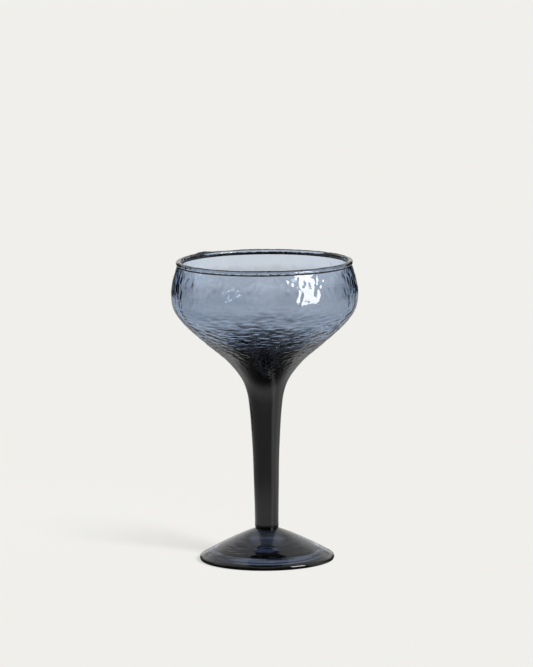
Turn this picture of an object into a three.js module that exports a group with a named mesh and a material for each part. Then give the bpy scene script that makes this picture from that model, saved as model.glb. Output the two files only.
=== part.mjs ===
// A hand-made coupe cocktail glass: foot, stem, bowl and lip wrap, four gathers of glass joined hot.
// Millimetres, +Z up. The origin is the centre of the circle that the foot rests on.
import * as THREE from "three";

// Driving dimensions
const HEIGHT = 162.3;
const BOWL_RADIUS = 50;
const FOOT_RADIUS = 36.2;
const STEM_WAIST_RADIUS = 6.4;

// Heights of the three hot joints
const FOOT_TOP = 16.9;
const STEM_TOP = 91;
const LIP_BASE = 159.5;

// Radii where two pieces meet
const FOOT_TOP_RADIUS = STEM_WAIST_RADIUS - 0.1;
const STEM_TOP_RADIUS = 10;
const RIM_OUTER_RADIUS = 46.9;
const RIM_INNER_RADIUS = 44.9;

// Foot: a low cone with a rolled edge, hollow underneath inside a flat rest ring
const FOOT_EDGE_ROLL = 1.2;
const FOOT_EDGE_THICKNESS = 2.5;
const REST_RING_OUTER = FOOT_RADIUS - FOOT_EDGE_ROLL;
const REST_RING_INNER = 30;
const HOLLOW_HEIGHT = 4.6;

// Bowl: greatest width at its shoulder, funnel-shaped below, with the wall thickening downwards
const SHOULDER_HEIGHT = 144;
const SHOULDER_WALL = 2.1;
const WELL_BOTTOM = 96.5;

// Lip wrap: a thread of glass round the rim, a little thicker where its end laps over its start
const LIP_OVERHANG = 0.9;
const LIP_BASE_INSET = 0.2;
const LAP_ANGLE = (140 * Math.PI) / 180;
const LAP_HALF_WIDTH = 0.09;
const LAP_SWELL = 0.22;

// Round steps of the turned pieces
const SEGMENTS = 64;
const LIP_SEGMENTS = 96;
const STRETCH = 2;

const xy = (radius, height) => new THREE.Vector2(radius, height);

// A smooth stretch of an outline through its stations, with the given number of steps per station.
function smooth(stations, steps = STRETCH) {
  const curve = new THREE.SplineCurve(stations.map(([radius, height]) => xy(radius, height)));
  return curve.getPoints((stations.length - 1) * steps);
}

// An elliptical arc of an outline about (radius, height), from one angle to another in degrees.
function arc(radius, height, radiusX, radiusY, from, to, steps) {
  const start = THREE.MathUtils.degToRad(from);
  const end = THREE.MathUtils.degToRad(to);
  const curve = new THREE.EllipseCurve(radius, height, radiusX, radiusY, start, end, end < start);
  return curve.getPoints(steps);
}

// Joins stretches into one outline and leaves out a point that repeats the one before it.
function outline(...stretches) {
  const closest = 1e-3;
  return stretches.flat().filter((point, i, all) => i === 0 || point.distanceTo(all[i - 1]) > closest);
}

function turned(profile, segments) {
  return new THREE.LatheGeometry(profile, segments);
}

function footProfile() {
  const halfEdge = FOOT_EDGE_THICKNESS / 2;
  return outline(
    smooth([[0, HOLLOW_HEIGHT], [12, 4.4], [20, 3.8], [26, 2.4], [28.8, 0.9], [REST_RING_INNER, 0]]),
    arc(REST_RING_OUTER, halfEdge, FOOT_EDGE_ROLL, halfEdge, -90, 65, 6),
    smooth([[34.2, 3.1], [30.2, 5.6], [17.7, 12], [11, 15], [FOOT_TOP_RADIUS, FOOT_TOP]]),
    [xy(0, FOOT_TOP)],
  );
}

function stemProfile() {
  return outline(
    [xy(0, FOOT_TOP), xy(FOOT_TOP_RADIUS, FOOT_TOP)],
    smooth([
      [FOOT_TOP_RADIUS, FOOT_TOP],
      [STEM_WAIST_RADIUS, 22],
      [6.7, 38],
      [7.0, 54],
      [7.7, 69],
      [8.65, 82],
      [STEM_TOP_RADIUS, STEM_TOP],
    ]),
    [xy(0, STEM_TOP)],
  );
}

function bowlProfile() {
  const outside = smooth([
    [STEM_TOP_RADIUS, STEM_TOP],
    [12.6, 98],
    [20.3, 108],
    [31.9, 118],
    [43.8, 129],
    [48.8, 136.3],
    [BOWL_RADIUS, SHOULDER_HEIGHT],
    [49.3, 150.5],
    [RIM_OUTER_RADIUS, LIP_BASE],
  ]);
  const inside = smooth([
    [RIM_INNER_RADIUS, LIP_BASE],
    [47.1, 151],
    [BOWL_RADIUS - SHOULDER_WALL, SHOULDER_HEIGHT],
    [46.7, 137.3],
    [42, 130.6],
    [29.9, 120.2],
    [17.1, 111.1],
    [9, 104.2],
    [4.5, 99.5],
    [0, WELL_BOTTOM],
  ]);
  return outline([xy(0, STEM_TOP)], outside, inside);
}

// The wrap's section is a round bead on a flat base, closed on itself.
function lipProfile() {
  const middle = (RIM_INNER_RADIUS + RIM_OUTER_RADIUS) / 2;
  const halfWidth = (RIM_OUTER_RADIUS - RIM_INNER_RADIUS + LIP_OVERHANG) / 2;
  const halfRise = (HEIGHT - LIP_BASE) / 2;
  const baseStart = xy(RIM_INNER_RADIUS + LIP_BASE_INSET, LIP_BASE);
  const baseEnd = xy(RIM_OUTER_RADIUS - LIP_BASE_INSET, LIP_BASE);
  const bead = arc(middle, LIP_BASE + halfRise, halfWidth, halfRise, -50, 230, 10);
  return outline([baseStart, baseEnd], bead, [baseStart]);
}

// Swells the bead upwards where the thread's end lies over its start. The lathe's z is the glass's -Y.
function swellLap(geometry) {
  const position = geometry.getAttribute("position");
  const point = new THREE.Vector3();
  for (let i = 0; i < position.count; i += 1) {
    point.fromBufferAttribute(position, i);
    const angle = Math.atan2(-point.z, point.x) - LAP_ANGLE;
    const swell = LAP_SWELL * Math.exp(-((angle / LAP_HALF_WIDTH) ** 2));
    point.y += (point.y - LIP_BASE) * swell;
    position.setXYZ(i, point.x, point.y, point.z);
  }
  return geometry;
}

const smokedGlass = (color, roughness) => new THREE.MeshStandardMaterial({ color, roughness, metalness: 0 });

// Names a turned piece. The lathe turns about +Y, so each piece is stood up onto +Z.
function piece(name, geometry, material) {
  const mesh = new THREE.Mesh(geometry, material);
  mesh.name = name;
  mesh.rotation.x = Math.PI / 2;
  return mesh;
}

const glass = new THREE.Group();
glass.add(
  piece("foot", turned(footProfile(), SEGMENTS), smokedGlass(0x2a313b, 0.08)),
  piece("stem", turned(stemProfile(), SEGMENTS), smokedGlass(0x26272a, 0.08)),
  piece("bowl", turned(bowlProfile(), SEGMENTS), smokedGlass(0x66748a, 0.1)),
  piece("lip_wrap", swellLap(turned(lipProfile(), LIP_SEGMENTS)), smokedGlass(0x55637a, 0.06)),
);

export default glass;
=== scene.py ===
"""A hand-made coupe cocktail glass in smoky blue-grey glass, on a plain pale floor in soft studio light.

Lengths in the outlines are millimetres, as in the design, and every mesh is made in metres.
The glass stands on the origin with its axis along +Z, and the camera looks along +Y.
"""
import math

import bpy
import numpy as np
from mathutils import Euler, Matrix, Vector, noise


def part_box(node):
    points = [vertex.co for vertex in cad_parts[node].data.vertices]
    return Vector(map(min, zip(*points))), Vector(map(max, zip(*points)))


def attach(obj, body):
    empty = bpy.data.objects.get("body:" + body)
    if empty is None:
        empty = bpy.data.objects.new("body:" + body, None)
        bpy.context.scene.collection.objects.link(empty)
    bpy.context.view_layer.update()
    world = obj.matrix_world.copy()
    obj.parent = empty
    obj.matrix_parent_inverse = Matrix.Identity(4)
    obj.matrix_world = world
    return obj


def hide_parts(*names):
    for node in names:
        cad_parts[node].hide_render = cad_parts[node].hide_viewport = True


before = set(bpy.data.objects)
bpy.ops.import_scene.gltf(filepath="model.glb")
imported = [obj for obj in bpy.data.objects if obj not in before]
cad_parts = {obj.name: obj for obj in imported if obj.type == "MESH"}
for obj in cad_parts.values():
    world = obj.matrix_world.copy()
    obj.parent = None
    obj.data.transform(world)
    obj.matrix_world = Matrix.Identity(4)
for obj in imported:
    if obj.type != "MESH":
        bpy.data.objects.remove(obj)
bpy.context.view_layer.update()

MM = 0.001
FOOT_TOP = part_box("foot")[1].z / MM
STEM_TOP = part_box("stem")[1].z / MM
LIP_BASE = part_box("lip_wrap")[0].z / MM
BOWL_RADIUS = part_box("bowl")[1].x / MM
FOOT_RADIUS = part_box("foot")[1].x / MM

# The pieces stop this far short of one another, and their relief fades out towards the joints
WELD_GAP = 0.02
BOWL_JOINT_FADE = 3
STEM_JOINT_FADE = 2

# Round steps of the turned pieces
BOWL_SEGMENTS = 400
STEM_SEGMENTS = 280
FOOT_SEGMENTS = 320
LIP_SEGMENTS = 480
SHARP_EDGE = math.radians(40)

# Marks left by the maker's hand
LAP_ANGLE = math.radians(137)
LAP_HALF_WIDTH = 0.12
LAP_HEIGHT = 1.2
CREASE_ANGLE = 205
CREASE_HALF_WIDTH = 0.42
CREASE_DEPTH = 1.4
CREASE_FOOT = 70
CREASE_HEAD = 87
TOOL_MARKS = ((24.2, 203, 228), (25.8, 212, 238), (23.0, 222, 240), (26.8, 226, 244))
TOOL_MARK_DEPTH = 0.18
TOOL_MARK_HALF_WIDTH = 0.5
RING_MARK_RADIUS = 30
RING_MARK_DEPTH = 0.05

# Tints this low let next to no light through the surface. They paint shade: black round the foot's rolled
# edge and along the lip's fused side
PAINTED_EDGE_BLACK = 0.00005
PAINTED_SEAM_BLACK = 0.00002

# Camera: far away with a long lens, a little above the glass, and very slightly rolled
CAMERA_PLACE = (0.0008, -2.6, 0.5011)
CAMERA_TILT = 8.284
CAMERA_ROLL = -0.542
CAMERA_LENS = 264.8

# The backdrop's radiance, and its tone for rays that glass bends or mirrors
BACKDROP = (0.871, 0.863, 0.831)
COOLER = (0.985, 1.0, 1.035)

# The paper: its albedo, the share of its light that is its own, and the strength of the sky on it
FLOOR_SIDE = 60.0
FLOOR_ALBEDO = 0.84
FLOOR_GLOW = 0.72
FLOOR_SKY = 0.1

# The paper as glass mirrors it: painted shade under the glass, near it and far off, a painted pool of
# light to the right, and one painted glint streak
PAINTED_SHADE_UNDER_GLASS = 0.1
NEAR_FLOOR = 0.95
FAR_FLOOR = 0.45
RIGHT_FLOOR = 1.1
SHADED_ZONE = (0.045, 0.13)
FAR_ZONE = (0.1, 0.25)
RIGHT_ZONE = (0.7, 1.0)
GLINT_AZIMUTH = math.radians(55)
GLINT_EDGE = (0.955, 0.995)
GLINT_STRENGTH = 0.55

# The surround as glass sees it: dim overhead and in front, with black flags on the diagonals
CEILING_LIGHT = 0.12
CEILING_ZONE = (0.4, 0.65)
FRONT_LIGHT = 0.8
FRONT_ZONE = (0.1, 0.8)
OVERHEAD_LIGHT = 0.75
OVERHEAD_ZONE = (0.35, 0.7)
FLAG_EDGE = (0.2, 0.3)
FLAG_TOP = 0.4
MIRRORED_FLAG_TOP = 0.12
FLAG_FADE = 0.25
FLAGGED_FLOOR = (0.9, 1.3)


def clamp(value, low, high):
    return min(high, max(low, value))


# ---------------------------------------------------------------- outlines

def smooth(stations, step):
    """Points about `step` apart on a smooth curve through the stations (centripetal Catmull-Rom)."""
    p = np.array(stations, float)
    p = np.vstack([2 * p[0] - p[1], p, 2 * p[-1] - p[-2]])
    fine = []
    for a, b, c, d in zip(p, p[1:], p[2:], p[3:]):
        knots = np.cumsum([0, *(np.linalg.norm(q) ** 0.5 for q in (b - a, c - b, d - c))])
        t = np.linspace(knots[1], knots[2], 40)[:, None]
        ab = blend(a, b, knots[0], knots[1], t)
        bc = blend(b, c, knots[1], knots[2], t)
        cd = blend(c, d, knots[2], knots[3], t)
        abc = blend(ab, bc, knots[0], knots[2], t)
        bcd = blend(bc, cd, knots[1], knots[3], t)
        fine.append(blend(abc, bcd, knots[1], knots[2], t))
    return even(np.vstack(fine), step)


def blend(start, end, t_start, t_end, t):
    """The point at t on the straight line that passes start at t_start and end at t_end."""
    return ((t_end - t) * start + (t - t_start) * end) / (t_end - t_start)


def even(points, step):
    """The same line with its points spread evenly along it."""
    along = np.concatenate([[0], np.cumsum(np.linalg.norm(np.diff(points, axis=0), axis=1))])
    count = max(2, round(along[-1] / step) + 1)
    at = np.linspace(0, along[-1], count)
    return np.column_stack([np.interp(at, along, points[:, i]) for i in (0, 1)])


def straight(start, end, step):
    """Points about `step` apart from start to end."""
    return even(np.array([start, end], float), step)


def arc(centre, radii, start, end, count):
    """Points on an elliptical arc, from one angle to another in degrees."""
    t = np.radians(np.linspace(start, end, count))
    return np.column_stack([centre[0] + radii[0] * np.cos(t), centre[1] + radii[1] * np.sin(t)])


def join(*stretches):
    """One outline from stretches whose ends meet."""
    line = [stretches[0]]
    for stretch in stretches[1:]:
        meets = np.allclose(stretch[0], line[-1][-1], atol=1e-6)
        line.append(stretch[1:] if meets else stretch)
    return np.vstack(line)


def between(line, low, high):
    """The part of a rising outline between two heights."""
    margin = 0.05
    inside = line[(line[:, 1] > low + margin) & (line[:, 1] < high - margin)]
    ends = [(np.interp(z, line[:, 1], line[:, 0]), z) for z in (low, high)]
    return np.vstack([ends[0], inside, ends[1]])


# ---------------------------------------------------------------- meshes

def turned(name, outline, segments, relief, closed=False):
    """A closed solid of revolution from an outline that starts and ends on the axis, or closes on itself.

    relief(t, r, z, nr, nz) is how far the point at angle t, radius r and height z stands out along the
    outline's normal (nr, nz), in mm.
    """
    line = outline[:-1] if closed else outline
    ahead = np.roll(line, -1, 0) - np.roll(line, 1, 0)
    if not closed:
        ahead[0], ahead[-1] = line[1] - line[0], line[-1] - line[-2]
    normal = np.column_stack([ahead[:, 1], -ahead[:, 0]])
    normal /= np.linalg.norm(normal, axis=1)[:, None]
    angles = np.linspace(0, 2 * math.pi, segments, endpoint=False)
    verts, rings = [], []
    for (r, z), (nr, nz) in zip(line, normal):
        on_axis = r < 1e-6
        if on_axis:
            rings.append([len(verts)] * segments)
            verts.append((0.0, 0.0, z * MM))
            continue
        rings.append(list(range(len(verts), len(verts) + segments)))
        for t in angles:
            out = relief(t, r, z, nr, nz)
            rr, zz = r + nr * out, z + nz * out
            verts.append((rr * math.cos(t) * MM, rr * math.sin(t) * MM, zz * MM))
    mesh = bpy.data.meshes.new(name)
    mesh.from_pydata(verts, [], skin(rings, segments, closed))
    mesh.shade_smooth()
    mesh.set_sharp_from_angle(angle=SHARP_EDGE)
    piece = bpy.data.objects.new(name, mesh)
    bpy.context.scene.collection.objects.link(piece)
    return piece


def skin(rings, segments, closed):
    """Faces between each ring of points and the next. A ring on the axis is one point, repeated."""
    faces = []
    pairs = list(zip(rings, rings[1:])) + ([(rings[-1], rings[0])] if closed else [])
    for low, high in pairs:
        for j in range(segments):
            k = (j + 1) % segments
            face = [low[j], low[k], high[k], high[j]]
            face = [v for i, v in enumerate(face) if v != face[i - 1]]
            if len(face) > 2:
                faces.append(face)
    return faces


def ripple(t, r, z, across, up, seed):
    """Smooth noise on the glass's surface, with cells `across` mm wide and `up` mm high."""
    at = Vector((r * math.cos(t) / across, r * math.sin(t) / across, z / up + seed))
    return noise.noise(at)


def pinched(t, z, cells, up, seed):
    """Smooth noise with cells that narrow as the glass does, and are `up` mm high."""
    return noise.noise(Vector((cells * math.cos(t), cells * math.sin(t), z / up + seed)))


def clear_of_joints(z, bottom, top, span):
    """0 where a piece is joined at its bottom and top, and 1 from `span` mm inside them."""
    return clamp((z - bottom) / span, 0, 1) * clamp((top - z) / span, 0, 1)


# ---------------------------------------------------------------- node trees

class Graph:
    """A node tree, with short calls for the nodes that the glass, the floor and the lights share."""

    def __init__(self, tree):
        self.nodes = tree.nodes
        self.links = tree.links

    def node(self, kind, sockets, operation=None):
        """A node whose sockets, by name or number, are set to a value or linked to an output."""
        made = self.nodes.new(kind)
        if operation:
            made.operation = operation
        for key, value in sockets.items():
            if isinstance(value, bpy.types.NodeSocket):
                self.links.new(value, made.inputs[key])
            else:
                made.inputs[key].default_value = value
        return made

    def math(self, operation, *values):
        return self.node("ShaderNodeMath", dict(enumerate(values)), operation).outputs["Value"]

    def times(self, a, b):
        return self.math("MULTIPLY", a, b)

    def plus(self, a, b):
        return self.math("ADD", a, b)

    def minus(self, a, b):
        return self.math("SUBTRACT", a, b)

    def larger(self, a, b):
        return self.math("MAXIMUM", a, b)

    def vector(self, operation, *values):
        return self.node("ShaderNodeVectorMath", dict(enumerate(values)), operation).outputs

    def fade(self, source, start, end, low=0.0, high=1.0):
        """Goes smoothly from low to high as the source goes from start to end."""
        sockets = {"Value": source, "From Min": start, "From Max": end, "To Min": low, "To Max": high}
        made = self.node("ShaderNodeMapRange", sockets)
        made.interpolation_type = "SMOOTHSTEP"
        return made.outputs["Result"]

    def noise(self, place, scale, detail):
        sockets = {"Vector": place, "Scale": scale, "Detail": detail}
        return self.node("ShaderNodeTexNoise", sockets).outputs["Fac"]

    def place(self):
        """The point on the object, in metres."""
        return self.node("ShaderNodeTexCoord", {}).outputs["Object"]

    def split(self, vector):
        return self.node("ShaderNodeSeparateXYZ", {"Vector": vector}).outputs

    def path(self):
        return self.node("ShaderNodeLightPath", {}).outputs

    def radius(self):
        """The distance from the glass's axis."""
        flat = self.vector("MULTIPLY", self.place(), (1, 1, 0))["Vector"]
        return self.vector("LENGTH", flat)["Value"]

    def dimmed(self, colour, keep):
        sockets = {0: colour, "Scale": keep}
        return self.node("ShaderNodeVectorMath", sockets, "SCALE").outputs["Vector"]

    def cooled(self, glassy):
        """A whitish tone and the backdrop's, both a little cooler for rays that glass bends or mirrors."""
        mix = self.nodes.new("ShaderNodeMix")
        mix.data_type = "VECTOR"
        self.links.new(glassy, mix.inputs["Factor"])
        mix.inputs[4].default_value = (1, 1, 1)
        mix.inputs[5].default_value = COOLER
        cool = mix.outputs[1]
        return cool, self.vector("MULTIPLY", cool, BACKDROP)["Vector"]


# ---------------------------------------------------------------- glass

def depth_tint(g, stops, waver):
    """A tint that changes with height: (height in mm, colour) stops, wavering by `waver` mm."""
    place = g.place()
    centred = g.minus(g.noise(place, 260, 3), 0.5)
    height = g.math("MULTIPLY_ADD", centred, waver * MM, g.split(place)["Z"])
    low, high = stops[0][0], stops[-1][0]
    sockets = {"Value": height, "From Min": low * MM, "From Max": high * MM}
    scaled = g.node("ShaderNodeMapRange", sockets).outputs["Result"]
    ramp = g.node("ShaderNodeValToRGB", {"Fac": scaled})
    ramp.color_ramp.interpolation = "EASE"
    for _ in stops[2:]:
        ramp.color_ramp.elements.new(0.5)
    for element, (z, colour) in zip(ramp.color_ramp.elements, stops):
        element.position = (z - low) / (high - low)
        element.color = (*colour, 1)
    return ramp.outputs["Color"]


def fine_grain(g, scale, stretch, depth):
    """The fine waviness of the glass's skin, as a bump `depth` mm deep."""
    mapped = g.node("ShaderNodeMapping", {"Vector": g.place(), "Scale": stretch}).outputs["Vector"]
    sockets = {"Strength": 1.0, "Distance": depth * MM, "Height": g.noise(mapped, scale, 2)}
    return g.node("ShaderNodeBump", sockets).outputs["Normal"]


def painted_edge_shade(g, tint):
    """Paints shade into the foot's tint: black round its rolled edge, and dark along a ring above the
    hollow's edge.
    """
    radius = g.radius()
    # Painted shade: the rolled edge is painted black where the glass shows dark
    inside = g.fade(radius, 34.6 * MM, 35.1 * MM, 1.0, PAINTED_EDGE_BLACK)
    # Painted shade: a dark ring standing in for the refracted image of the hollow's edge
    rise = g.fade(radius, 28.0 * MM, 28.4 * MM, 0.0, 0.9)
    fall = g.fade(radius, 28.8 * MM, 29.4 * MM, 0.0, 0.9)
    ring = g.minus(1.0, g.minus(rise, fall))
    # Painted shade in strokes over the tool grooves
    inside = g.times(inside, painted_stroke_shade(g, radius))
    return g.dimmed(tint, g.times(inside, ring))


def painted_stroke_shade(g, radius):
    """Painted shade in dark strokes along a short arc at the front left of the foot, over the grooves the
    tool left.
    """
    across, along, darkness = 1100, 2.6, 0.93
    at = g.split(g.place())
    angle = g.math("ARCTAN2", at["Y"], at["X"])
    sockets = {"X": g.times(radius, across), "Y": g.times(angle, along)}
    spread = g.node("ShaderNodeCombineXYZ", sockets).outputs["Vector"]
    strokes = g.fade(g.noise(spread, 1.0, 1), 0.46, 0.56)
    start = g.fade(angle, math.radians(-162), math.radians(-150))
    end = g.fade(angle, math.radians(-132), math.radians(-112), 1.0, 0.0)
    inner = g.fade(radius, 20 * MM, 22 * MM)
    amount = g.times(g.times(g.times(start, end), inner), strokes)
    return g.minus(1.0, g.times(amount, darkness))


def painted_seam_shade(g, tint):
    """Painted shade along the lip's fused side: an almost black line with a ragged edge, deeper left and
    right at the back.
    """
    depth, roughness, blur = 1.8 * MM, 1.3 * MM, 0.15 * MM
    place = g.place()
    at = g.split(place)
    inner = g.fade(g.radius(), 45.2 * MM, 46.2 * MM, 1.0, 0.0)
    back = g.fade(at["Y"], 0.0, 30 * MM)
    sides = g.fade(g.math("ABSOLUTE", at["X"]), 29 * MM, 35 * MM, 0.4, 1.0)
    deeper = g.times(g.times(inner, back), sides)
    top = g.plus(g.times(deeper, depth), (LIP_BASE + 0.25) * MM)
    ragged = g.times(g.noise(place, 700, 2), roughness)
    above = g.minus(at["Z"], g.plus(top, ragged))
    return g.dimmed(tint, g.fade(above, -blur, blur, PAINTED_SEAM_BLACK, 1.0))


def smoked_glass(name, absorb, density, stops, waver, grain, darken=None):
    """Clear glass coloured through its depth, with a smoky tint that changes with height."""
    material = bpy.data.materials.new(name)
    material.use_nodes = True
    g = Graph(material.node_tree)
    shader = g.nodes["Principled BSDF"]
    shader.inputs["Roughness"].default_value = 0.0
    shader.inputs["IOR"].default_value = 1.5
    shader.inputs["Transmission Weight"].default_value = 1.0
    tint = depth_tint(g, stops, waver)
    # darken, where given, paints shade into the tint
    if darken:
        tint = darken(g, tint)
    g.links.new(tint, shader.inputs["Base Color"])
    g.links.new(fine_grain(g, *grain), shader.inputs["Normal"])
    volume = g.node("ShaderNodeVolumeAbsorption", {"Color": (*absorb, 1), "Density": density})
    g.links.new(volume.outputs["Volume"], g.nodes["Material Output"].inputs["Volume"])
    return material


def smoke(value):
    """A smoky tint, a little warmer than grey, to stand against the blue of the glass."""
    return (value, value * 0.985, value * 0.975)


def bowl_material():
    """Darker towards the bottom as the thick glass is, with painted shade making the funnel almost black,
    and clear blue-grey above.
    """
    # The near-black stops low down are partly the thick glass's own depth and partly painted shade over
    # the funnel
    stops = [(91, smoke(0.00003)), (104, smoke(0.0001)), (109, smoke(0.002)), (113, smoke(0.04)),
             (116, smoke(0.18)), (120, smoke(0.55)), (125, smoke(0.8)), (131, smoke(0.9)),
             (138, smoke(0.86)), (145, smoke(0.77)), (150, smoke(0.82)), (155, smoke(1.0))]
    return smoked_glass("bowl_glass", (0.056, 0.33, 0.66), 170, stops, 6, (900, (1, 1, 1.6), 0.012))


def lip_material():
    """Blue-grey, with painted shade: a dark line along its crown and a black line along its fused side
    below.
    """
    # The near-black stops at the top paint shade along the crown
    stops = [(159, smoke(0.8)), (161.7, smoke(0.85)), (162.0, smoke(0.002)), (163, smoke(0.002))]
    grain = (300, (1, 1, 1), 0.05)
    return smoked_glass("lip_glass", (0.056, 0.3, 0.6), 210, stops, 0.3, grain, painted_seam_shade)


def stem_material():
    """So deep that only its mirror images are seen."""
    stops = [(15, (0.0005, 0.0005, 0.0006)), (91, (0.0003, 0.0003, 0.0004))]
    return smoked_glass("stem_glass", (0.02, 0.05, 0.05), 900, stops, 4, (150, (1, 1, 0.2), 0.03))


def foot_material():
    """Blue at the flange, paler on the cone, and painted black where the stem joins it, as shade of the
    dark stem.
    """
    flange = (0.16, 0.2, 0.28)
    # The black stops at the top are painted shade of the dark stem
    stops = [(0, flange), (5.5, flange), (8, (0.85, 0.88, 1.0)), (12.5, (0.75, 0.78, 0.9)),
             (14.5, smoke(0.05)), (17, smoke(0.0003))]
    grain = (300, (1, 1, 1), 0.02)
    return smoked_glass("foot_glass", (0.1, 0.18, 0.33), 68, stops, 1.5, grain, painted_edge_shade)


# ---------------------------------------------------------------- bowl

def bowl_outline():
    outside = smooth([(8.65, 82), (10.0, 91), (12.6, 98), (20.3, 108), (31.9, 118), (43.8, 129),
                      (48.8, 136.3), (BOWL_RADIUS, 144), (49.3, 150.5), (46.9, LIP_BASE)], 0.5)
    outside = between(outside, STEM_TOP + WELD_GAP, LIP_BASE - WELD_GAP)
    inside = smooth([(44.9, LIP_BASE - WELD_GAP), (47.1, 151), (47.9, 144), (46.7, 137.3), (42, 130.6),
                     (29.9, 120.2), (17.1, 111.1), (9, 104.2), (4.5, 99.5), (0, 96.5)], 1.4)
    floor = straight((0, STEM_TOP + WELD_GAP), outside[0], 2)
    rim = straight(outside[-1], inside[0], 0.5)
    return join(floor, outside, rim, inside)


def hammered(t, r, z, nr, nz):
    """Upright ripples above the shoulder, level wavelets below it, and a gently wavy inside."""
    fade = clear_of_joints(z, STEM_TOP, LIP_BASE, BOWL_JOINT_FADE)
    if nr < 0 or r < 9:
        return 0.22 * fade * min(1, r / 8) * ripple(t, r, z, 6.0, 5.0, 4.1)
    low = clamp((150 - z) / 16, 0.0, 1.0)
    upright = 0.26 * ripple(t, r, z, 1.8, 3.4, 1.7) + 0.06 * ripple(t, r, z, 5.0, 9.0, 5.2)
    level = 0.2 * pinched(t, z, 8, 1.2, 8.3) + 0.13 * pinched(t, z, 15, 0.75, 3.9)
    level *= clamp((z - 98) / 13, 0.12, 1.3) * clamp((140 - z) / 14, 0.45, 1.0)
    return fade * ((1 - low) * upright + low * level)


# ---------------------------------------------------------------- stem

def stem_outline():
    low, high = FOOT_TOP + WELD_GAP, STEM_TOP
    side = smooth([(5.9, low), (6.2, low + 0.3), (6.38, low + 1.2), (6.42, 22), (6.7, 38), (7.0, 54),
                   (7.7, 69), (8.65, 82), (10.0, 91), (12.6, 98)], 0.6)
    side = between(side, low, high)
    return join(straight((0, low), side[0], 2), side, straight(side[-1], (0, high), 2))


def drawn_streaks(t, r, z, nr, nz):
    """Faint lengthwise streaks, as drawn glass has, and one crease down from the bowl."""
    if nr < 0.5:
        return 0.0
    streaks = 0.1 * ripple(t, r, z, 3.0, 25.0, 2.2)
    crease_at = math.radians(CREASE_ANGLE + 2.5 * math.sin(z / 1.7))
    across = (t - crease_at) * r / CREASE_HALF_WIDTH
    crease = CREASE_DEPTH * math.exp(-across * across) * clear_of_joints(z, CREASE_FOOT, CREASE_HEAD, 2)
    ragged = 0.6 + ripple(t, r, z, 2.0, 1.5, 9.4)
    return clear_of_joints(z, FOOT_TOP, STEM_TOP, STEM_JOINT_FADE) * streaks - crease * ragged


# ---------------------------------------------------------------- foot

def foot_outline():
    hollow = smooth([(0, 4.6), (12, 4.4), (20, 3.8), (26, 2.4), (28.8, 0.9), (30, WELD_GAP)], 0.8)
    edge = smooth([(35.1, WELD_GAP), (35.85, 0.25), (36.1, 0.8), (FOOT_RADIUS, 1.4), (36.05, 2.05),
                   (35.5, 2.55)], 0.2)
    cone = smooth([edge[-1], (34.2, 3.2), (30.2, 5.6), (17.7, 12), (11, 15), (6.7, 16.7),
                   (6.3, FOOT_TOP)], 0.25)
    rest_ring = straight(hollow[-1], edge[0], 1.0)
    top = straight(cone[-1], (0, FOOT_TOP), 2)
    return join(hollow, rest_ring, edge, cone, top)


def spun(t, r, z, nr, nz):
    """Faint rings and waves left by turning and tooling the foot."""
    core, rim, ground = 7, 34, 0.3
    if z < ground or r < core or (nr > 0.75 and r > rim):
        return 0.0
    fade = min(1, (r - core) / 3) * min(1, abs(FOOT_RADIUS - r) / 2) * min(1, (z - ground) / 1.5)
    waves = 0.07 * ripple(t, r, z, 9.0, 3.0, 6.6) + 0.01 * math.sin(r * 1.7 + 1.5 * math.sin(t))
    return fade * (waves - (tool_marks(t, r) if nz > 0 else 0))


def tool_marks(t, r):
    """The depth of the ring above the hollow's edge and of the grooves at the front left."""
    depth = RING_MARK_DEPTH * math.exp(-((r - RING_MARK_RADIUS) / 0.6) ** 2)
    for radius, start, end in TOOL_MARKS:
        middle, half = math.radians((start + end) / 2), math.radians((end - start) / 2)
        along = max(0.0, 1 - ((t - middle) / half) ** 2)
        depth += TOOL_MARK_DEPTH * along * math.exp(-((r - radius) / TOOL_MARK_HALF_WIDTH) ** 2)
    return depth


# ---------------------------------------------------------------- lip wrap

def lip_outline():
    inner, outer = (45.1, LIP_BASE), (46.7, LIP_BASE)
    bead = arc((45.9, LIP_BASE + 1.4), (1.45, 1.4), -60, 240, 26)
    return np.vstack([straight(inner, outer, 0.3), bead, [inner]])


def trailed(t, r, z, nr, nz):
    """A hand-laid thread: its thickness wanders, and its end laps over its start."""
    if z < LIP_BASE + 0.05:
        return 0.0
    wander = 0.16 * noise.noise(Vector((6 * math.cos(t), 6 * math.sin(t), 0.4)))
    wander += 0.10 * noise.noise(Vector((22 * math.cos(t), 22 * math.sin(t), z)))
    away = math.atan2(math.sin(t - LAP_ANGLE), math.cos(t - LAP_ANGLE))
    lap = LAP_HEIGHT * math.exp(-(away / LAP_HALF_WIDTH) ** 2)
    return wander + lap * max(0.0, nz * 0.6 - nr * 0.6)


# ---------------------------------------------------------------- studio

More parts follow.
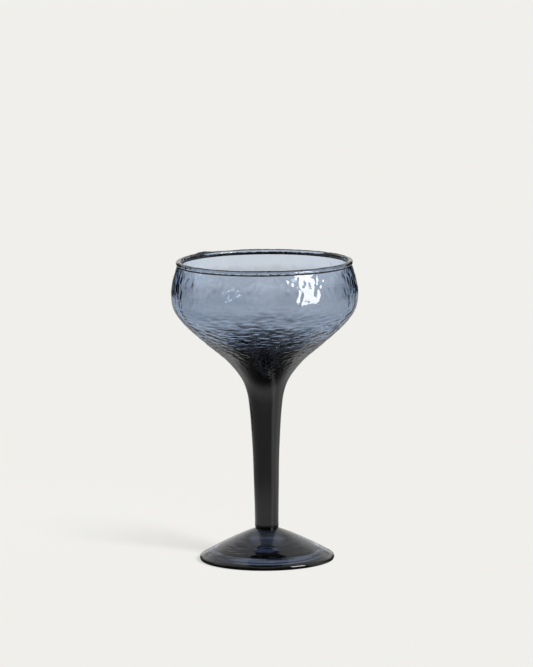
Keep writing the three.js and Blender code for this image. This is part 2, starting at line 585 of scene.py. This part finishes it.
def studio_floor():
    """Plain paper, evenly bright to the camera. Glass sees painted light and shade on it: dimmer far off,
    and painted black on the diagonals in line with the world's flags.
    """
    mesh = bpy.data.meshes.new("floor")
    side = FLOOR_SIDE
    corners = [(-side, -side, 0), (side, -side, 0), (side, side, 0), (-side, side, 0)]
    mesh.from_pydata(corners, [], [(0, 1, 2, 3)])
    plane = bpy.data.objects.new("floor", mesh)
    bpy.context.scene.collection.objects.link(plane)
    paper = bpy.data.materials.new("floor_paper")
    paper.use_nodes = True
    g = Graph(paper.node_tree)
    shader = g.nodes["Principled BSDF"]
    shader.inputs["Roughness"].default_value = 1.0
    shader.inputs["Specular IOR Level"].default_value = 0.0
    place = g.place()
    distance = g.vector("LENGTH", place)["Value"]
    direction = g.vector("NORMALIZE", place)["Vector"]
    path = g.path()
    glassy = g.larger(path["Is Glossy Ray"], path["Is Transmission Ray"])
    reflected = g.larger(g.minus(path["Is Glossy Ray"], path["Is Transmission Ray"]), 0.0)
    dimmer = g.minus(1.0, painted_mirrored_floor(g, distance, direction))
    mirrored = g.minus(1.0, g.times(reflected, dimmer))
    # Painted shade: to glass the paper is black on the diagonals far off, in line with the world's flags
    flagged = g.times(g.fade(distance, *FLAGGED_FLOOR), diagonal_flags(g, direction, FLAG_TOP))
    kept = g.larger(g.minus(1.0, flagged), g.minus(1.0, glassy))
    share = g.times(mirrored, kept)
    cool, tone = g.cooled(glassy)
    albedo = g.times(share, FLOOR_ALBEDO * (1 - FLOOR_GLOW))
    g.links.new(g.dimmed(cool, albedo), shader.inputs["Base Color"])
    g.links.new(tone, shader.inputs["Emission Color"])
    g.links.new(g.times(share, FLOOR_GLOW), shader.inputs["Emission Strength"])
    mesh.materials.append(paper)


def painted_mirrored_floor(g, distance, direction):
    """How bright glass mirrors the paper at a distance and in a direction from its foot: painted shade
    under and near the glass and far off, a painted pool of light to the right, and a painted glint streak.
    """
    glint_toward = (math.sin(GLINT_AZIMUTH), -math.cos(GLINT_AZIMUTH), 0)
    glint = g.vector("DOT_PRODUCT", direction, glint_toward)["Value"]
    # Painted glint: a streak of light on the paper towards the windows
    streak = g.fade(glint, *GLINT_EDGE, 0.0, GLINT_STRENGTH)
    # Painted shade under and near the glass
    shaded = g.fade(distance, *SHADED_ZONE, PAINTED_SHADE_UNDER_GLASS, NEAR_FLOOR)
    near = g.times(shaded, g.fade(distance, *FAR_ZONE, 1.0, 0.0))
    # Painted light: the paper brighter to the right
    right = g.fade(g.split(direction)["X"], *RIGHT_ZONE, FAR_FLOOR, RIGHT_FLOOR)
    far = g.times(g.fade(distance, *FAR_ZONE), right)
    return g.plus(g.plus(near, far), streak)


def diagonal_flags(g, direction, top):
    """1 on the four diagonals up to the height `top`, and 0 in the open directions between them."""
    toward = g.split(direction)
    x, y = toward["X"], toward["Y"]
    across = g.math("ABSOLUTE", g.times(x, y))
    flat = g.plus(g.times(x, x), g.times(y, y))
    shade = g.fade(g.math("DIVIDE", across, flat), *FLAG_EDGE)
    low = g.fade(toward["Z"], top, top + FLAG_FADE, 1.0, 0.0)
    return g.times(shade, low)


def studio_world():
    """A bright even surround, with black flags on the diagonals that only glass sees."""
    world = bpy.data.worlds.new("studio")
    bpy.context.scene.world = world
    world.use_nodes = True
    g = Graph(world.node_tree)
    sky = g.nodes["Background"]
    direction = g.node("ShaderNodeTexCoord", {}).outputs["Generated"]
    toward = g.split(direction)
    path = g.path()
    open_through = g.minus(1.0, diagonal_flags(g, direction, FLAG_TOP))
    open_mirrored = g.minus(1.0, diagonal_flags(g, direction, MIRRORED_FLAG_TOP))
    ceiling = g.fade(toward["Z"], *CEILING_ZONE, 1.0, CEILING_LIGHT)
    front = g.fade(g.times(toward["Y"], -1.0), *FRONT_ZONE, 1.0, FRONT_LIGHT)
    overhead = g.fade(toward["Z"], *OVERHEAD_ZONE, 1.0, OVERHEAD_LIGHT)
    bent = g.times(g.times(open_through, ceiling), path["Is Transmission Ray"])
    reflected = g.times(g.times(open_mirrored, front), overhead)
    reflected = g.times(reflected, g.minus(1.0, path["Is Transmission Ray"]))
    plain = g.larger(path["Is Camera Ray"], path["Is Diffuse Ray"])
    glassy = g.minus(1.0, plain)
    uneven = g.times(g.plus(bent, reflected), glassy)
    even_light = g.plus(path["Is Camera Ray"], g.times(path["Is Diffuse Ray"], FLOOR_SKY))
    g.links.new(g.plus(uneven, even_light), sky.inputs["Strength"])
    g.links.new(g.cooled(glassy)[1], sky.inputs["Color"])


def softbox(name, azimuth, width, low, high, distance, radiance):
    """A window-like light that only the nearest surface mirrors.

    Its foot and head are elevations from the glass, in degrees, as its azimuth and width are.
    """
    centre = Vector((0, 0, 0.15))
    bottom = distance * math.tan(math.radians(low))
    top = distance * math.tan(math.radians(high))
    data = bpy.data.lights.new(name, "AREA")
    data.shape = "RECTANGLE"
    data.size = 2 * distance * math.tan(math.radians(width / 2))
    data.size_y = top - bottom
    data.energy = radiance * math.pi * data.size * data.size_y
    data.use_nodes = True
    g = Graph(data.node_tree)
    first = g.fade(g.path()["Transmission Depth"], 0.0, 1.0, 1.0, 0.0)
    g.links.new(first, g.nodes["Emission"].inputs["Strength"])
    lamp = bpy.data.objects.new(name, data)
    turn = math.radians(azimuth)
    away = Vector((distance * math.sin(turn), -distance * math.cos(turn), (top + bottom) / 2))
    lamp.location = centre + away
    lamp.rotation_euler = Euler((math.radians(90), 0, turn))
    lamp.visible_camera = False
    lamp.visible_diffuse = False
    lamp.visible_transmission = False
    lamp.visible_shadow = False
    bpy.context.scene.collection.objects.link(lamp)


def key_light(azimuth, elevation, angle, blockers):
    """A sun that makes the floor as bright as the backdrop. Only the dark glass throws its shadow."""
    sun = bpy.data.lights.new("key", "SUN")
    sun.angle = math.radians(angle)
    from_paper = FLOOR_ALBEDO * (1 - FLOOR_GLOW)
    share = (1 - FLOOR_GLOW - from_paper * FLOOR_SKY) / from_paper
    sun.energy = share * math.pi / math.sin(math.radians(elevation))
    sun.color = BACKDROP
    lamp = bpy.data.objects.new("key", sun)
    lamp.rotation_euler = Euler((math.radians(90 - elevation), 0, math.radians(azimuth)))
    lamp.visible_glossy = False
    bpy.context.scene.collection.objects.link(lamp)
    dark_glass = bpy.data.collections.new("key_blockers")
    for blocker in blockers:
        dark_glass.objects.link(blocker)
    lamp.light_linking.blocker_collection = dark_glass


def camera():
    data = bpy.data.cameras.new("camera")
    data.sensor_width = 36
    data.lens = CAMERA_LENS
    data.clip_end = 100
    view = bpy.data.objects.new("camera", data)
    view.location = CAMERA_PLACE
    tilt = Euler((math.radians(90 - CAMERA_TILT), 0, 0)).to_matrix()
    roll = Euler((0, 0, math.radians(CAMERA_ROLL))).to_matrix()
    view.rotation_euler = (tilt @ roll).to_euler()
    bpy.context.scene.collection.objects.link(view)
    bpy.context.scene.camera = view


# ---------------------------------------------------------------- assembly

bowl = turned("bowl", bowl_outline(), BOWL_SEGMENTS, hammered)
stem = turned("stem", stem_outline(), STEM_SEGMENTS, drawn_streaks)
foot = turned("foot", foot_outline(), FOOT_SEGMENTS, spun)
lip = turned("lip_wrap", lip_outline(), LIP_SEGMENTS, trailed, closed=True)

bowl.data.materials.append(bowl_material())
stem.data.materials.append(stem_material())
foot.data.materials.append(foot_material())
lip.data.materials.append(lip_material())

for piece, node in ((bowl, "bowl"), (stem, "stem"), (foot, "foot"), (lip, "lip_wrap")):
    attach(piece, "root")
    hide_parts(node)

studio_floor()
studio_world()
softbox("window_tall", azimuth=55, width=26, low=-5, high=28, distance=1.2, radiance=16)
softbox("window_low", azimuth=55, width=26, low=-9, high=-6.5, distance=1.2, radiance=16)
key_light(azimuth=45, elevation=35, angle=25, blockers=(stem, foot))
camera()
bpy.context.scene.view_settings.view_transform = "Standard"
